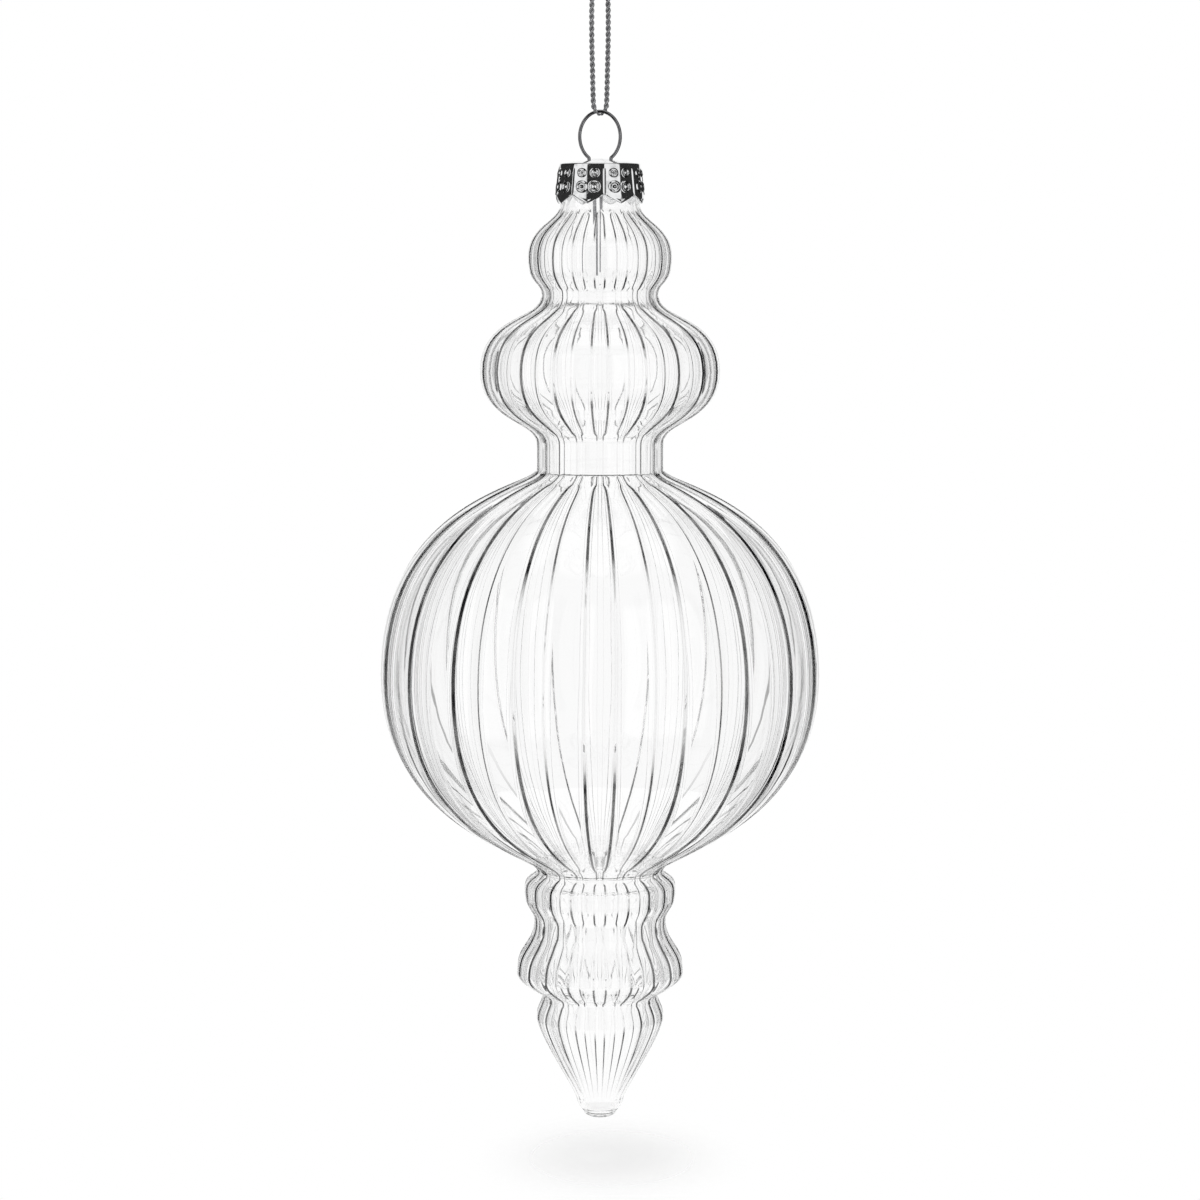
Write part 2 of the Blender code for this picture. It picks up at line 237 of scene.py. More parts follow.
def ribbed_shell():
    """The tree that turns a wall section about Z and presses the lobes and the grooves between them."""
    tree, given, output = new_tree(
        "ribbed_shell",
        (
            ("Ribs", "Int"),
            ("Cuts", "Int"),
            ("Groove Width", "Float"),
            ("Flank", "Float"),
            ("Unevenness", "Float"),
            ("Material", "Material"),
        ),
    )
    rings = join(tree, "GeometryNodeAttributeDomainSize", {"Geometry": given["Geometry"]})
    count = rings.outputs["Point Count"]
    around = maths(tree, "ADD", maths(tree, "MULTIPLY", given["Ribs"], given["Cuts"]), 1)
    inputs = {"Size X": 1, "Size Y": 1, "Vertices X": around, "Vertices Y": count}
    grid = join(tree, "GeometryNodeMeshGrid", inputs)
    where = join(tree, "GeometryNodeInputPosition").outputs[0]
    here = join(tree, "ShaderNodeSeparateXYZ", {0: where}).outputs
    row = maths(tree, "MULTIPLY", maths(tree, "ADD", here["Y"], 0.5), maths(tree, "SUBTRACT", count, 1))
    row = maths(tree, "ROUND", row)
    found = []
    fields = [join(tree, "GeometryNodeInputPosition").outputs[0]]
    for name in ("lobe", "groove", "width", "skin"):
        named = join(tree, "GeometryNodeInputNamedAttribute", {"Name": name}, data_type="FLOAT_VECTOR")
        fields.append(named.outputs["Attribute"])
    for value in fields:
        inputs = {"Geometry": given["Geometry"], "Value": value, "Index": row}
        sample = join(tree, "GeometryNodeSampleIndex", inputs, data_type="FLOAT_VECTOR", domain="POINT")
        found.append(sample.outputs[0])
    ribs = maths(tree, "MULTIPLY", maths(tree, "ADD", here["X"], 0.5), given["Ribs"])
    cell = maths(tree, "FLOOR", ribs)
    part = maths(tree, "FRACT", ribs)
    half = maths(tree, "SUBTRACT", 0.5, maths(tree, "ABSOLUTE", maths(tree, "SUBTRACT", part, 0.5)))
    share = join(tree, "ShaderNodeSeparateXYZ", {0: found[3]}).outputs["X"]
    radius = join(tree, "ShaderNodeSeparateXYZ", {0: found[0]}).outputs["X"]
    finer = maths(tree, "DIVIDE", FLANK_RADIUS, maths(tree, "ADD", radius, 0.001))
    finer = maths(tree, "MINIMUM", maths(tree, "SQRT", finer), FLANK_WIDEST)
    flank = maths(tree, "MULTIPLY", given["Flank"], finer)
    wide = maths(tree, "ADD", maths(tree, "MULTIPLY", given["Groove Width"], share), flank)
    floor = maths(tree, "SUBTRACT", wide, flank)
    away = spread(tree, half, 0.0, FLOOR_CUTS, 0.0, floor, smooth=False)
    away = maths(tree, "ADD", away, spread(tree, half, FLOOR_CUTS, FLANK_CUTS, 0.0, flank, smooth=False))
    lobe = maths(tree, "SUBTRACT", 0.5, wide)
    away = maths(tree, "ADD", away, spread(tree, half, FLANK_CUTS, 0.5, 0.0, lobe, smooth=False))
    side = maths(tree, "GREATER_THAN", part, 0.5)
    part = join(tree, "ShaderNodeMix", {0: side, 2: away, 3: maths(tree, "SUBTRACT", 1.0, away)}).outputs[0]
    rib = maths(tree, "MODULO", maths(tree, "ROUND", ribs), given["Ribs"])
    uneven = join(tree, "FunctionNodeRandomValue", {}, data_type="FLOAT")
    tree.links.new(maths(tree, "SUBTRACT", 1.0, given["Unevenness"]), uneven.inputs[2])
    tree.links.new(maths(tree, "ADD", 1.0, given["Unevenness"]), uneven.inputs[3])
    tree.links.new(rib, uneven.inputs["ID"])
    uneven.inputs["Seed"].default_value = RIB_SEED
    step = spread(tree, away, floor, wide, 1.0, 0.0)
    groove = maths(tree, "MULTIPLY", step, uneven.outputs[1])
    height = join(tree, "ShaderNodeSeparateXYZ", {0: found[0]}).outputs["Z"]
    run = {"X": maths(tree, "MULTIPLY", rib, STREAK_APART), "Y": maths(tree, "MULTIPLY", height, STREAK_RUN)}
    run = join(tree, "ShaderNodeCombineXYZ", run).outputs[0]
    run = join(tree, "ShaderNodeTexNoise", {"Vector": run, "Scale": 1.0, "Detail": 1.0}).outputs[0]
    groove = maths(tree, "MULTIPLY", groove, spread(tree, run, 0.2, 0.8, *STREAK_DEPTH, smooth=False))
    lobe = maths(tree, "POWER", maths(tree, "SUBTRACT", 1.0, maths(tree, "MULTIPLY", away, 2.0)), 2.0)
    pushes = []
    for press, depth in ((found[1], lobe), (found[2], groove)):
        inputs = {0: press, "Scale": depth}
        pushes.append(join(tree, "ShaderNodeVectorMath", inputs, operation="SCALE").outputs[0])
    spot = found[0]
    for push in pushes:
        spot = join(tree, "ShaderNodeVectorMath", {0: spot, 1: push}, operation="ADD").outputs[0]
    spot = join(tree, "ShaderNodeSeparateXYZ", {0: spot}).outputs
    turn = maths(tree, "DIVIDE", maths(tree, "ADD", cell, part), given["Ribs"])
    angle = maths(tree, "SUBTRACT", maths(tree, "MULTIPLY", turn, math.tau), math.pi / 2)
    ring = {"X": maths(tree, "COSINE", angle), "Y": maths(tree, "SINE", angle)}
    ring["Z"] = maths(tree, "MULTIPLY", spot["Z"], DRIFT_RUN)
    drift = join(tree, "ShaderNodeCombineXYZ", ring).outputs[0]
    inputs = {"Vector": drift, "Scale": DRIFT_SCALE, "Detail": 1.0}
    drift = join(tree, "ShaderNodeTexNoise", inputs).outputs[0]
    reach = maths(tree, "MULTIPLY", given["Unevenness"], DRIFT_SHARE)
    drift = maths(tree, "MULTIPLY", maths(tree, "SUBTRACT", drift, 0.5), reach)
    angle = maths(tree, "ADD", angle, drift)
    place = {
        "X": maths(tree, "MULTIPLY", spot["X"], maths(tree, "COSINE", angle)),
        "Y": maths(tree, "MULTIPLY", spot["X"], maths(tree, "SINE", angle)),
        "Z": spot["Z"],
    }
    place = join(tree, "ShaderNodeCombineXYZ", place).outputs[0]
    # The flank mask, which the glass material uses to paint dark lines of shade along the grooves.
    slope = maths(tree, "MULTIPLY", maths(tree, "MULTIPLY", step, maths(tree, "SUBTRACT", 1.0, step)), 4.0)
    deep = join(tree, "ShaderNodeVectorMath", {0: found[2]}, operation="LENGTH").outputs["Value"]
    full = maths(tree, "ADD", maths(tree, "MULTIPLY", radius, GROOVE_DEPTH), 0.000001)
    slope = maths(tree, "MULTIPLY", slope, maths(tree, "MINIMUM", maths(tree, "DIVIDE", deep, full), 1.0))
    inputs = {"Geometry": grid.outputs["Mesh"], "Name": "flank", "Value": slope}
    shell = join(tree, "GeometryNodeStoreNamedAttribute", inputs, data_type="FLOAT", domain="POINT")
    skin = join(tree, "ShaderNodeSeparateXYZ", {0: found[4]}).outputs
    skin = {
        "X": maths(tree, "MULTIPLY", skin["X"], maths(tree, "COSINE", angle)),
        "Y": maths(tree, "MULTIPLY", skin["X"], maths(tree, "SINE", angle)),
        "Z": skin["Z"],
    }
    skin = join(tree, "ShaderNodeCombineXYZ", skin).outputs[0]
    inputs = {"Geometry": shell.outputs[0], "Name": "skin", "Value": skin}
    shell = join(tree, "GeometryNodeStoreNamedAttribute", inputs, data_type="FLOAT_VECTOR", domain="POINT")
    shell = join(tree, "GeometryNodeSetPosition", {"Geometry": shell.outputs[0], "Position": place})
    shell = join(tree, "GeometryNodeMergeByDistance", {"Geometry": shell.outputs[0], "Distance": MERGE_REACH})
    shell = join(tree, "GeometryNodeFlipFaces", {"Mesh": shell.outputs[0]})
    close_tree(tree, shell.outputs[0], given["Material"], output)
    return tree


def clear_glass():
    """Clear glass with painted shade: dark lines painted along the grooves' flanks, stronger where the
    surface turns away from the eye.
    """
    made = bpy.data.materials.new("clear_glass")
    made.use_nodes = True
    tree = made.node_tree
    shader = tree.nodes["Principled BSDF"]
    shader.inputs["Base Color"].default_value = (1.0, 1.0, 1.0, 1.0)
    shader.inputs["Roughness"].default_value = 0.0
    shader.inputs["IOR"].default_value = 1.5
    shader.inputs["Transmission Weight"].default_value = 1.0
    place = join(tree, "ShaderNodeTexCoord").outputs["Object"]
    flank = join(tree, "ShaderNodeAttribute", attribute_name="flank").outputs["Fac"]
    patchy = join(tree, "ShaderNodeTexNoise", {"Vector": place, "Scale": 90.0, "Detail": 3.0}).outputs["Fac"]
    # Painted shade: the flank mask darkens the glass's colour in thin lines along the grooves, in place of
    # the dark surround seen through them, and the facing below makes these lines stronger where the surface
    # turns away from the eye.
    line = spread(tree, flank, 0.1, 0.5, 0.0, 1.0)
    line = maths(tree, "MULTIPLY", line, spread(tree, patchy, 0.35, 0.6, 0.93, 1.0))
    skin = join(tree, "ShaderNodeAttribute", attribute_name="skin").outputs["Vector"]
    turned = {"vector_type": "NORMAL", "convert_from": "OBJECT", "convert_to": "WORLD"}
    skin = join(tree, "ShaderNodeVectorTransform", {0: skin}, **turned).outputs[0]
    facing = join(tree, "ShaderNodeLayerWeight", {"Blend": 0.5, "Normal": skin}).outputs["Facing"]
    line = maths(tree, "MULTIPLY", line, spread(tree, facing, 0.08, 0.2, 0.1, 1.0))
    line = maths(tree, "MULTIPLY", line, spread(tree, facing, 0.8, 0.93, 1.0, 0.3))
    tint = join(tree, "ShaderNodeMix", {0: line}, data_type="RGBA")
    tint.inputs[6].default_value = (1.0, 1.0, 1.0, 1.0)
    tint.inputs[7].default_value = (0.0005, 0.0005, 0.0006, 1.0)
    tree.links.new(tint.outputs[2], shader.inputs["Base Color"])
    flow = join(tree, "ShaderNodeTexNoise", {"Vector": place, "Scale": 160.0, "Detail": 2.0}).outputs["Fac"]
    bump = join(tree, "ShaderNodeBump", {"Height": flow, "Strength": 0.02, "Distance": 0.0002})
    tree.links.new(bump.outputs["Normal"], shader.inputs["Normal"])
    absorb = join(tree, "ShaderNodeVolumeAbsorption", {"Color": (0.80, 0.82, 0.82, 1.0), "Density": 1.0})
    tree.links.new(absorb.outputs[0], tree.nodes["Material Output"].inputs["Volume"])
    return made


section = glass_section()
seed = wire_mesh("glass_section", [row[0] for row in section])
for column, name in ((1, "lobe"), (2, "groove"), (3, "width"), (4, "skin")):
    press = seed.attributes.new(name, "FLOAT_VECTOR", "POINT")
    for spot, row in zip(press.data, section):
        spot.vector = (row[3], 0, 0) if name == "width" else row[column]
glass = grown(
    "glass_body_ribbed",
    seed,
    ribbed_shell(),
    {
        "Ribs": RIBS,
        "Cuts": CUTS,
        "Groove Width": 0.19,
        "Flank": 0.07,
        "Unevenness": 0.12,
        "Material": clear_glass(),
    },
)
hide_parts("glass_body")
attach(glass, "glass")


# Crown cap
# Thin plated sheet pressed into eight shield-shaped panels with embossed rings, beads between
# them and small tongues in the notches. It sits over the neck and the wire holds it there.

CAP_TOP_RADIUS = 0.0072
CAP_RIM_RADIUS = 0.0078
CAP_SIDE = 0.0055
CAP_POINT = 0.0016
CAP_DOME = 0.0008
CAP_EDGE = 0.00025
CAP_SHEET = 0.0003
CAP_PANELS = 8
CAP_TURN = math.radians(28.5)
BOSS_RADIUS = 0.0027
BOSS_RISE = 0.0003
BEAD_HALF_WIDTH = 0.0003
BEAD_HEIGHT = 0.0002
LIP_WIDTH = 0.00034
LIP_HEIGHT = 0.00006
# Embossed rings: offset from the panel's middle line, depth below the top edge, radius, ridge, inner dome
CAP_RINGS = (
    (0.00122, 0.00170, 0.00060, 0.00024, 0.00030),
    (0.00118, 0.00415, 0.00082, 0.00026, 0.00042),
)
RING_HEIGHT = 0.00024
RING_DOME_SHARE = 0.8
TONGUE_HALF_WIDTH = 0.00085
TONGUE_DROP = 0.0019
TONGUE_TUCK = 0.0007
TONGUE_SHEET = 0.00018
TONGUE_GAP = 0.00004
# Shares of the tongue's length: its straight part and its round end, which runs just past the last row
TONGUE_STRAIGHT = 0.45
TONGUE_ROUND = 0.56
WIRE_HOLE_SPACING = 0.0039
WIRE_HOLE_RADIUS = 0.0006
WIRE_HOLE_DEPTH = 0.004


def hump(distance, width):
    """One in the middle of a ridge, falling smoothly to nothing at its foot."""
    share = min(1.0, abs(distance) / width)
    return (1 - share * share) ** 2


def cap_relief(across, down, below):
    """How far the panel stands out at a spot: rings with their domes, and the lip along the edge."""
    out = 0.0
    for offset, depth, radius, ridge, dome in CAP_RINGS:
        far = math.hypot(abs(across) - offset, down - depth)
        inside = RING_DOME_SHARE * RING_HEIGHT * hump(far, dome)
        out = max(out, RING_HEIGHT * hump(far - radius, ridge), inside)
    return max(out, LIP_HEIGHT * hump(below - 0.8 * LIP_WIDTH, LIP_WIDTH))


def cap_panel(crown):
    """Rows of points of one panel, from the crown down its outside and up its inside, and their relief."""
    columns = 60
    half = math.pi / CAP_PANELS
    flat = CAP_TOP_RADIUS - CAP_EDGE
    edge = crown - CAP_DOME
    rim = edge - CAP_SIDE
    rows = []
    reliefs = []

    def lay(row):
        rows.append([Vector((r * math.cos(a), r * math.sin(a), z)) for a, r, z, _ in row])
        reliefs.append([out for _, _, _, out in row])

    turns = [half * (2 * i / columns - 1) for i in range(columns + 1)]
    for share in (0, 0.1, 0.2, 0.3, 0.36, 0.42, 0.5, 0.65, 0.8, 0.92, 1):
        r = flat * share
        boss = BOSS_RISE * (1 - min(1.0, r / BOSS_RADIUS) ** 3)
        z = edge + CAP_DOME * (1 - share * share) - BOSS_RISE * (1 - share) + boss
        lay([(a, r, z, 0) for a in turns])
    for turn in (18, 36, 54, 72):
        b = math.radians(turn)
        lay([(a, flat + CAP_EDGE * math.sin(b), edge - CAP_EDGE * (1 - math.cos(b)), 0) for a in turns])
    top = edge - CAP_EDGE
    steps = 56
    for i in range(steps + 1):
        row = []
        for a in turns:
            side = abs(a) / half
            foot = rim - CAP_POINT * (1 - side) ** 0.9
            z = top + (foot - top) * i / steps
            r = CAP_TOP_RADIUS + (CAP_RIM_RADIUS - CAP_TOP_RADIUS) * min(1.0, (top - z) / (top - rim))
            out = cap_relief(a * r, edge - z, z - foot) * min(1.0, 4 * i / steps)
            bead = BEAD_HEIGHT * hump((half - abs(a)) * r, BEAD_HALF_WIDTH) * min(1.0, 4 * i / steps)
            row.append((a, r + max(out, bead), z, max(out, bead) / RING_HEIGHT))
        lay(row)
    for i in (56, 40, 20, 0):
        row = []
        for a in turns:
            foot = rim - CAP_POINT * (1 - abs(a) / half) ** 0.9
            z = top + (foot - top) * i / steps
            r = CAP_TOP_RADIUS + (CAP_RIM_RADIUS - CAP_TOP_RADIUS) * min(1.0, (top - z) / (top - rim))
            row.append((a, r - CAP_SHEET, z, 0))
        lay(row)
    for share in (1, 0.8, 0.5, 0.2, 0):
        r = flat * share
        z = edge + CAP_DOME * (1 - share * share) - CAP_SHEET - BOSS_RISE * (1 - share)
        lay([(a, r, z, 0) for a in turns])
    return rows, reliefs


def add_tongue(shape, crown):
    """A rounded tongue behind the notch at the panel's side, close inside the sheet."""
    middle = math.pi / CAP_PANELS
    rim = crown - CAP_DOME - CAP_SIDE
    rows = 9
    columns = 8
    sheets = []
    for inset in (0.0, TONGUE_SHEET):
        sheet = []
        for i in range(rows + 1):
            t = i / rows
            z = rim + TONGUE_TUCK - (TONGUE_TUCK + TONGUE_DROP) * t
            r = CAP_RIM_RADIUS - CAP_SHEET - TONGUE_GAP - inset
            bow = max(0.0, (t - TONGUE_STRAIGHT) / TONGUE_ROUND)
            reach = TONGUE_HALF_WIDTH * math.sqrt(max(0.0, 1 - bow**2))
            line = []
            for k in range(columns + 1):
                a = middle + reach * (2 * k / columns - 1) / r
                line.append(shape.verts.new((r * math.cos(a), r * math.sin(a), z)))
            sheet.append(line)
        sheets.append(sheet)
    front, back = sheets
    for i in range(rows):
        for k in range(columns):
            shape.faces.new((front[i][k], front[i + 1][k], front[i + 1][k + 1], front[i][k + 1]))
            shape.faces.new((back[i][k + 1], back[i + 1][k + 1], back[i + 1][k], back[i][k]))
        shape.faces.new((back[i][0], back[i + 1][0], front[i + 1][0], front[i][0]))
        shape.faces.new((front[i][-1], front[i + 1][-1], back[i + 1][-1], back[i][-1]))
    for k in range(columns):
        shape.faces.new((back[0][k + 1], back[0][k], front[0][k], front[0][k + 1]))
        shape.faces.new((front[-1][k + 1], front[-1][k], back[-1][k], back[-1][k + 1]))


def panel_mesh(crown):
    """One panel with its tongue as a mesh, which keeps how far each point stands out."""
    rows, reliefs = cap_panel(crown)
    shape = bmesh.new()
    relief = shape.verts.layers.float.new("relief")
    grid = []
    for row, outs in zip(rows, reliefs):
        line = []
        for spot, out in zip(row, outs):
            corner = shape.verts.new(spot)
            corner[relief] = out
            line.append(corner)
        grid.append(line)
    for upper, lower in zip(grid, grid[1:]):
        for k in range(len(upper) - 1):
            shape.faces.new((upper[k], lower[k], lower[k + 1], upper[k + 1]))
    add_tongue(shape, crown)
    made = bpy.data.meshes.new("cap_panel")
    shape.to_mesh(made)
    shape.free()
    return made


def turned_panels():
    """The tree that sets a panel round Z and joins the copies into one sheet."""
    tree, given, output = new_tree(
        "turned_panels", (("Panels", "Int"), ("Turn", "Float"), ("Material", "Material"))
    )
    spots = join(tree, "GeometryNodePoints", {"Count": given["Panels"]})
    number = join(tree, "GeometryNodeInputIndex").outputs[0]
    turn = maths(tree, "DIVIDE", maths(tree, "MULTIPLY", number, math.tau), given["Panels"])
    turn = join(tree, "ShaderNodeCombineXYZ", {"Z": maths(tree, "ADD", turn, given["Turn"])}).outputs[0]
    inputs = {"Points": spots.outputs[0], "Instance": given["Geometry"], "Rotation": turn}
    copies = join(tree, "GeometryNodeInstanceOnPoints", inputs)
    real = join(tree, "GeometryNodeRealizeInstances", {"Geometry": copies.outputs[0]})
    one = join(tree, "GeometryNodeMergeByDistance", {"Geometry": real.outputs[0], "Distance": MERGE_REACH})
    close_tree(tree, one.outputs[0], given["Material"], output)
    return tree


def bright_plate():
    """Bright plating, darker and rougher in patches on the sheet away from its raised rings, beads and lip,
    with faint ripples of the sheet.
    """
    made = bpy.data.materials.new("bright_plate")
    made.use_nodes = True
    tree = made.node_tree
    shader = tree.nodes["Principled BSDF"]
    shader.inputs["Metallic"].default_value = 1.0
    place = join(tree, "ShaderNodeTexCoord").outputs["Object"]
    relief = join(tree, "ShaderNodeAttribute", attribute_name="relief").outputs["Fac"]
    cloud = join(tree, "ShaderNodeTexNoise", {"Vector": place, "Scale": 900.0, "Detail": 4.0}).outputs["Fac"]
    # Darker colour and more roughness in noise patches where the sheet is not raised.
    hollow = spread(tree, relief, 0.0, 0.5, 1.0, 0.0)
    rough_dark_patches = maths(tree, "MULTIPLY", hollow, spread(tree, cloud, 0.4, 0.75, 0.0, 1.0))
    tint = join(tree, "ShaderNodeMix", {0: rough_dark_patches}, data_type="RGBA")
    tint.inputs[6].default_value = (0.86, 0.865, 0.87, 1.0)
    tint.inputs[7].default_value = (0.62, 0.625, 0.63, 1.0)
    tree.links.new(tint.outputs[2], shader.inputs["Base Color"])
    tree.links.new(spread(tree, rough_dark_patches, 0.0, 1.0, 0.05, 0.2), shader.inputs["Roughness"])
    ripple = join(tree, "ShaderNodeTexNoise", {"Vector": place, "Scale": 420.0, "Detail": 1.0}).outputs["Fac"]
    bump = join(tree, "ShaderNodeBump", {"Height": ripple, "Strength": 0.12, "Distance": 0.0003})
    tree.links.new(bump.outputs["Normal"], shader.inputs["Normal"])
    return made


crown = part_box("metal_cap")[1].z
cap = grown(
    "metal_cap_embossed",
    panel_mesh(crown),
    turned_panels(),
    {"Panels": CAP_PANELS, "Turn": CAP_TURN, "Material": bright_plate()},
)
drills = []
for side in (-1, 1):
    drill = bmesh.new()
    spot = Matrix.Translation((side * WIRE_HOLE_SPACING / 2, 0, crown))
    bmesh.ops.create_cone(
        drill,
        cap_ends=True,
        segments=24,
        radius1=WIRE_HOLE_RADIUS,
        radius2=WIRE_HOLE_RADIUS,
        depth=WIRE_HOLE_DEPTH,
        matrix=spot,
    )
    body = bpy.data.meshes.new("wire_hole")
    drill.to_mesh(body)
    drill.free()
    drills.append(bpy.data.objects.new("wire_hole", body))
    bpy.context.scene.collection.objects.link(drills[-1])
    cut = cap.modifiers.new("wire_hole", "BOOLEAN")
    cut.operation = "DIFFERENCE"
    cut.object = drills[-1]
graph = bpy.context.evaluated_depsgraph_get()
pressed = bpy.data.meshes.new_from_object(
    cap.evaluated_get(graph), preserve_all_data_layers=True, depsgraph=graph
)
cap.modifiers.clear()
cap.data = pressed
for drill in drills:
    bpy.data.objects.remove(drill)
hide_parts("metal_cap")
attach(cap, "hanger")


# Spring wire
# One length of drawn spring wire, bent to a ring above the cap. Its two legs go down through the
# cap's holes and spring against the neck from inside, front and back.

WIRE_RADIUS = 0.0003
HANG_DROP = 0.034
RING_WIDTH = 0.0072
RING_TALL = 0.0089
RING_STAND = 0.00835
RING_END_ANGLE = math.radians(-56)
# How far each leg stands aside of the ring's middle, the front one first
LEG_ASIDE = (0.0009, 0.0002)
LEG_BEND = 0.0062
LEG_LENGTH = 0.0208
LEG_RADIUS = 0.00475


def wire_route(aside):
    """One side of the wire, from the top of the ring through the cap to the end of its leg."""
    across = RING_WIDTH / 2
    up = RING_TALL / 2
    pivot = Vector((0, 0, -HANG_DROP))
    steps = 40
    route = []
    for i in range(steps + 1):
        angle = math.pi / 2 + (RING_END_ANGLE - math.pi / 2) * i / steps
        route.append(pivot + Vector((across * math.cos(angle), 0, up * math.sin(angle) - up)))
    heading = (route[-1] - route[-2]).normalized()
    above = pivot + Vector((WIRE_HOLE_SPACING / 2, 0, -RING_STAND))
    below = above - Vector((0, 0, CAP_DOME + CAP_SHEET))
    pull = (above - route[-1]).length / 2
    ends = (route[-1], route[-1] + heading * pull, above + Vector((0, 0, pull / 2)), above)
    route += [point for _, point, _ in bezier(ends, 10)]
    route.append(below)
    leg_y = math.sqrt(LEG_RADIUS**2 - aside**2)
    leg_top = Vector((aside, leg_y, below.z - LEG_BEND))
    sweep = Vector((0, 0, -LEG_BEND / 2))
    route += [point for _, point, _ in bezier((below, below + sweep, leg_top - sweep, leg_top), 20)]
    foot = Vector((aside, leg_y, pivot.z - RING_STAND - LEG_LENGTH))
    return route + [leg_top.lerp(foot, share) for share in (0.25, 0.5, 0.75, 1.0)]


def round_stock():
    """The tree that sweeps a round section along a path and notes the place along and round it."""
    tree, given, output = new_tree(
        "round_stock", (("Radius", "Float"), ("Sides", "Int"), ("Material", "Material"))
    )
    path = join(tree, "GeometryNodeMeshToCurve", {0: given["Geometry"]}).outputs[0]
    along = join(tree, "GeometryNodeSplineParameter").outputs["Length"]
    inputs = {"Geometry": path, "Name": "along", "Value": along}
    path = join(tree, "GeometryNodeStoreNamedAttribute", inputs, data_type="FLOAT", domain="POINT").outputs[0]
    inputs = {"Resolution": given["Sides"], "Radius": given["Radius"]}
    ring = join(tree, "GeometryNodeCurvePrimitiveCircle", inputs)
    round_it = join(tree, "GeometryNodeSplineParameter").outputs["Factor"]
    inputs = {"Geometry": ring.outputs[0], "Name": "around", "Value": round_it}
    ring = join(tree, "GeometryNodeStoreNamedAttribute", inputs, data_type="FLOAT", domain="POINT").outputs[0]
    swept = join(tree, "GeometryNodeCurveToMesh", {"Curve": path, "Profile Curve": ring, "Fill Caps": True})
    close_tree(tree, swept.outputs[0], given["Material"], output)
    return tree


def drawn_wire():
    """Bright steel with the fine lengthwise marks that the drawing die leaves."""
    made = bpy.data.materials.new("drawn_wire")
    made.use_nodes = True
    tree = made.node_tree
    shader = tree.nodes["Principled BSDF"]
    shader.inputs["Metallic"].default_value = 1.0
    place = join(tree, "ShaderNodeTexCoord").outputs["Object"]
    along = join(tree, "ShaderNodeAttribute", attribute_name="along").outputs["Fac"]
    around = join(tree, "ShaderNodeAttribute", attribute_name="around").outputs["Fac"]
    lines = {"X": maths(tree, "MULTIPLY", along, 300.0), "Y": maths(tree, "MULTIPLY", around, 26.0)}
    lines = join(tree, "ShaderNodeCombineXYZ", lines).outputs[0]
    lines = join(tree, "ShaderNodeTexNoise", {"Vector": lines, "Scale": 1.0, "Detail": 3.0}).outputs["Fac"]
    cloud = join(tree, "ShaderNodeTexNoise", {"Vector": place, "Scale": 700.0, "Detail": 2.0}).outputs["Fac"]
    tint = join(tree, "ShaderNodeMix", {0: spread(tree, cloud, 0.35, 0.7, 0.0, 1.0)}, data_type="RGBA")
    tint.inputs[6].default_value = (0.36, 0.36, 0.37, 1.0)
    tint.inputs[7].default_value = (0.25, 0.25, 0.26, 1.0)
    tree.links.new(tint.outputs[2], shader.inputs["Base Color"])
    tree.links.new(spread(tree, lines, 0.3, 0.7, 0.07, 0.16), shader.inputs["Roughness"])
    bump = join(tree, "ShaderNodeBump", {"Height": lines, "Strength": 0.15, "Distance": 0.00003})
    tree.links.new(bump.outputs["Normal"], shader.inputs["Normal"])
    return made


left, right = (wire_route(aside) for aside in LEG_ASIDE)
left = [Vector((-point.x, -point.y, point.z)) for point in reversed(left)]
wire = grown(
    "wire_hanger_drawn",
    wire_mesh("wire_route", [*left[:-1], *right]),
    round_stock(),
    {"Radius": WIRE_RADIUS, "Sides": 18, "Material": drawn_wire()},
)
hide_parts("wire_hanger")
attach(wire, "hanger")


# Cord loop
# A silver cord of two plies twisted together, each wrapped in metallic thread. It is folded through
# the ring, and both strands run up to the knot just above the picture.

CORD_PLY_RADIUS = 0.00024
CORD_LAY_RADIUS = 0.000235
CORD_PITCH = 0.0021
CORD_PINCHED = 0.0007
CORD_ROUTE = (
    (-0.00055, -0.00020, 0.00000),
    (-0.00078, -0.00040, -0.00400),
    (-0.00115, -0.00075, -0.00900),
    (-0.00142, -0.00110, -0.01500),
    (-0.00145, -0.00132, -0.02100),
    (-0.00132, -0.00145, -0.02700),
    (-0.00121, -0.00142, -0.03150),
    (-0.00112, -0.00118, -0.03310),
    (-0.00072, -0.00072, -0.03418),
    (0.00000, 0.00000, -0.03463),
)
CORD_STEP = 0.0007
PLY_STEP = 0.0001
# In the bight, where the ring presses on them, the plies are drawn in to this share, which eases off
# over this many times the pinched length
PINCH_SHARE = 0.5
PINCH_EASE = 3.0


def smooth_route(points, step):
    """Points about a step apart on a smooth curve through the given ones."""
    points = [Vector(p) for p in points]
    padded = [2 * points[0] - points[1], *points, 2 * points[-1] - points[-2]]
    route = [points[0]]
    for before, a, b, after in zip(padded, padded[1:], padded[2:], padded[3:]):
        reach = (b - a).length / 3
        ahead = a + (b - before).normalized() * reach
        behind = b - (after - a).normalized() * reach
        steps = max(2, math.ceil((b - a).length / step))
        route += [point for _, point, _ in bezier((a, ahead, behind, b), steps)]
    return route


